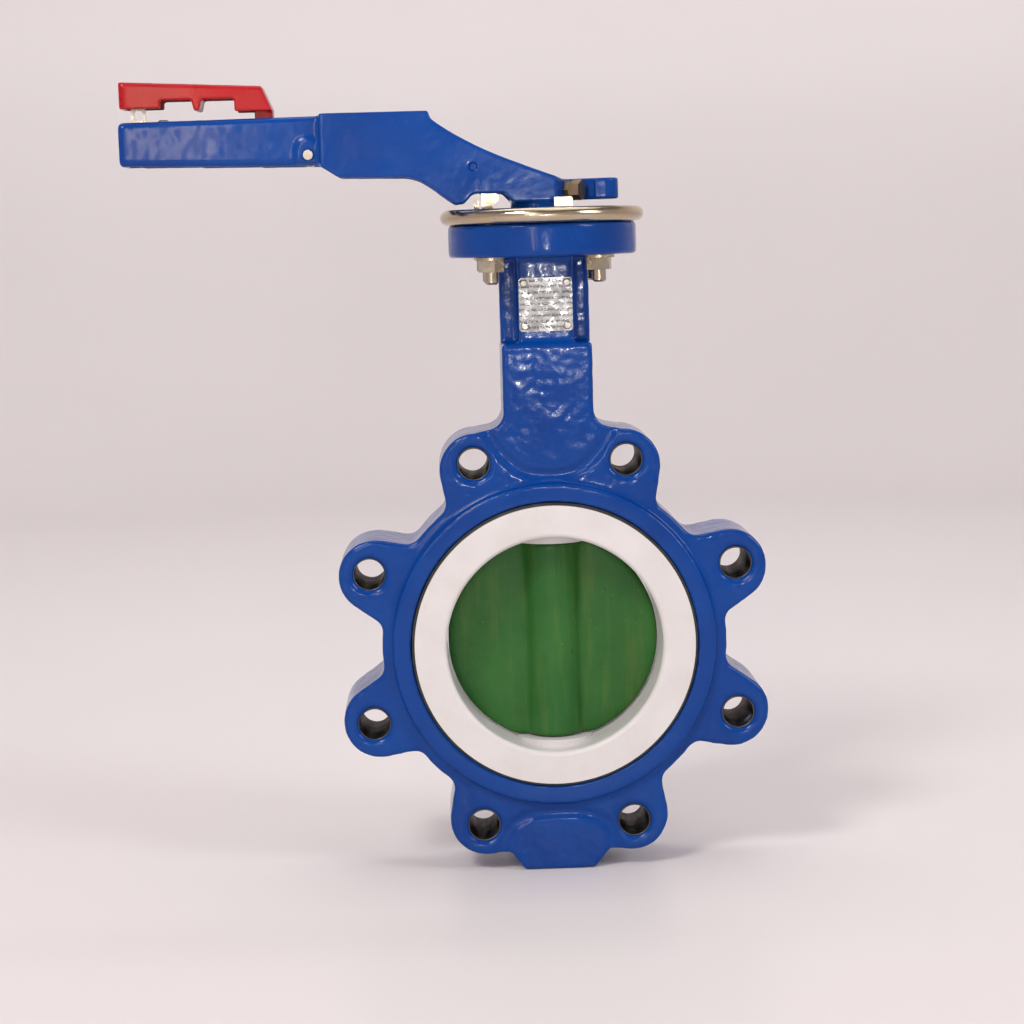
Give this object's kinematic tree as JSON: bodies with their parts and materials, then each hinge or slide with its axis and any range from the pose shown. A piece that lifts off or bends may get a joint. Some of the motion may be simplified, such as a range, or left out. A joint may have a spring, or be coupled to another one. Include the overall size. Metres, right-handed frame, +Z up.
{
  "type": "butterfly valve",
  "caption": "Lug-type butterfly valve: tapped-lug body, soft seat, disc on a two-part stem, and a squeeze lever that locks in a notched plate.",
  "frame": {"origin": "centre of the bore, midway between the two pipe faces", "axes": "+Z up the stem, +Y along the pipe away from the front face, +X to the right seen from the front; the lever points to -X when closed"},
  "size_m": [0.2854, 0.0922, 0.3625],
  "materials": {
    "blue_enamel": "gloss",
    "blue_lever": "gloss",
    "white_seat": "satin",
    "black_elastomer": "matte",
    "bronze_bush": "satin",
    "plain_steel": "satin",
    "zinc_plate": "bright",
    "zinc_fasteners": "satin",
    "stainless_tag": "satin",
    "green_disc": "gloss",
    "stainless_stem": "satin",
    "brass_tone_screw": "satin",
    "red_trigger": "gloss"
  },
  "bodies": {
    "valve": {"body": "blue_enamel", "liner": "white_seat", "liner_backing": "black_elastomer", "upper_bush": "bronze_bush", "lower_bush": "bronze_bush", "gland_bush": "bronze_bush", "stem_o_rings": "black_elastomer", "bottom_plug": "plain_steel", "plug_seal": "black_elastomer", "notch_plate": "zinc_plate", "plate_bolts": "zinc_fasteners", "plate_nuts": "zinc_fasteners", "plate_washers": "zinc_fasteners", "tag_plate": "stainless_tag", "tag_rivets": "stainless_tag", "thrust_washer": "zinc_plate"},
    "lever": {"lever": "blue_lever", "disc": "green_disc", "upper_stem": "stainless_stem", "lower_stem": "stainless_stem", "stem_circlip": "plain_steel", "clamp_screw": "brass_tone_screw", "clamp_nut": "brass_tone_screw", "latch_pivot": "zinc_fasteners", "stop_pin": "plain_steel", "padlock_eye": "zinc_fasteners", "eye_rivet": "zinc_fasteners", "latch_spring": "plain_steel"},
    "trigger": {"trigger": "red_trigger", "latch_arm": "zinc_plate", "grip_rivet": "plain_steel", "pawl": "zinc_plate", "pawl_rivet": "plain_steel"}
  },
  "joints": [
    {"name": "lever_swing", "type": "hinge", "parent": "valve", "child": "lever", "pos_m": [0, 0, 0.2], "axis": [0, 0, 1], "range_deg": [0, 90]},
    {"name": "trigger_squeeze", "type": "hinge", "parent": "lever", "child": "trigger", "pos_m": [-0.104, 0, 0.2231], "axis": [0, -1, 0], "range_deg": [0, 3.4], "stiffness_Nm_per_rad": 4, "springref_deg": -5.73, "deforming": ["latch_spring"]}
  ]
}
